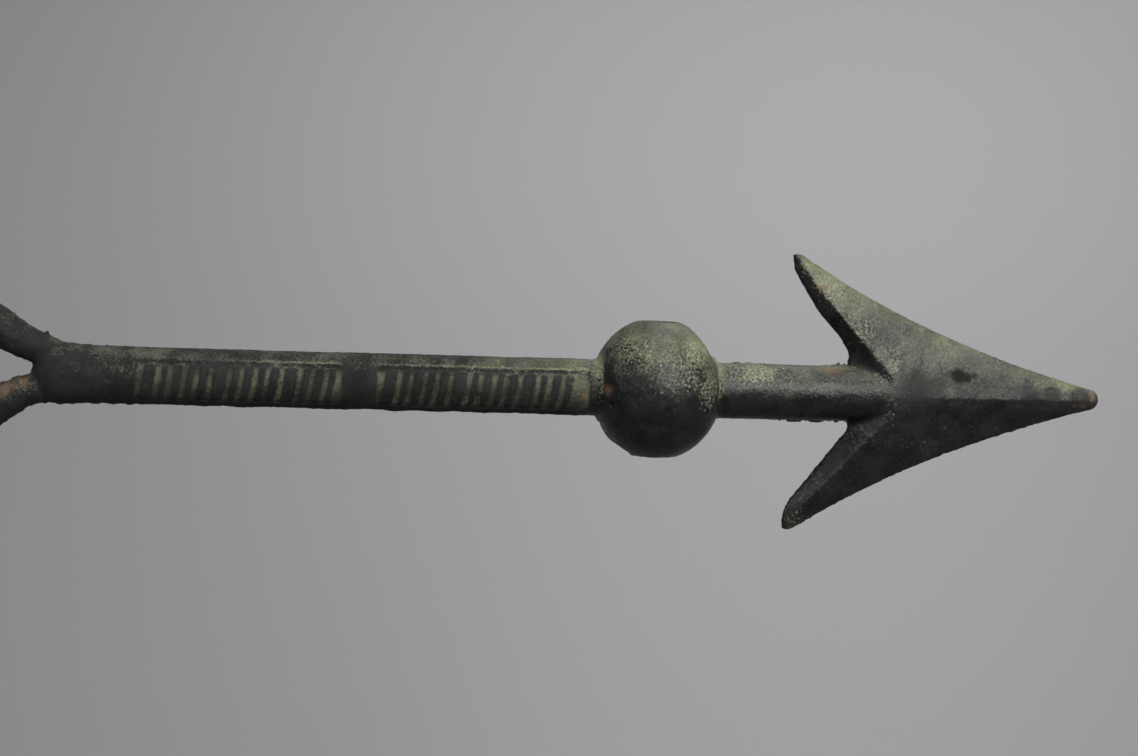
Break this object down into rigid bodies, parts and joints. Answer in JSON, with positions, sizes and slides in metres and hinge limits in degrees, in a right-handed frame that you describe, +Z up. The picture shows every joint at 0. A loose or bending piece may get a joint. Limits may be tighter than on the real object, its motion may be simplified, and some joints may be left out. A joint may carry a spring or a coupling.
{
  "type": "lightning rod weathervane",
  "caption": "Cast bronze barbed arrow vane for a lightning rod, with a ball hub bored for the spindle, a forked shaft and an open kite tail.",
  "frame": {"origin": "centre of the ball hub, on the spindle's axis", "axes": "+X along the shaft towards the arrow's tip, +Y through the thickness of the vane, away from the inscribed side, +Z up along the spindle"},
  "size_m": [0.4178, 0.0356, 0.0802],
  "materials": {
    "weathered_bronze": "rough sand-cast bronze with a near-black patina and grey-green verdigris on its upper faces"
  },
  "bodies": {
    "root": {"vane_casting": "weathered_bronze"}
  },
  "joints": []
}
